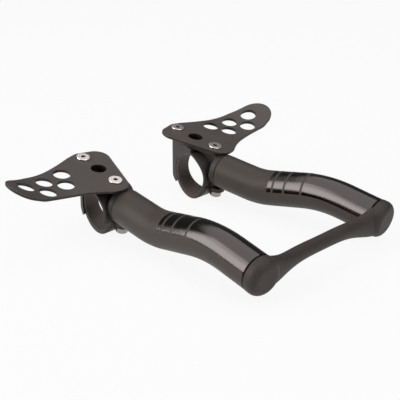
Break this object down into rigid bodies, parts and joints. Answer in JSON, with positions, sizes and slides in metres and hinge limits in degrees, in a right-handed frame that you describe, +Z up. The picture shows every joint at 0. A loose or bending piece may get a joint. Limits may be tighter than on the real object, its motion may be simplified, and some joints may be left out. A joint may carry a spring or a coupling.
{
  "type": "aero handlebar extension",
  "caption": "Short clip-on aero extension: bar clamps with bolted straps, pierced armrest plates, S-bend tubes toed outward, and a moulded front bridge joining them.",
  "frame": {"origin": "on the handlebar's axis, midway between the two clamps", "axes": "+X to the rider's right along the handlebar, +Y forward towards the bridge, +Z up"},
  "size_m": [0.2548, 0.1898, 0.0535],
  "materials": {
    "clamp": "bead-blasted black anodised",
    "tube": "matte black with gloss black panel",
    "plate": "bead-blasted black anodised",
    "bridge": "fine moulded grain",
    "bolt": "bright zinc plate"
  },
  "bodies": {
    "root": {"right_clamp_body": "clamp", "left_clamp_body": "clamp", "right_clamp_strap": "clamp", "left_clamp_strap": "clamp", "clamp_bolts": "bolt", "right_extension_tube": "tube", "left_extension_tube": "tube", "right_armrest_plate": "plate", "left_armrest_plate": "plate", "armrest_bolts": "bolt", "front_bridge": "bridge"}
  },
  "joints": []
}
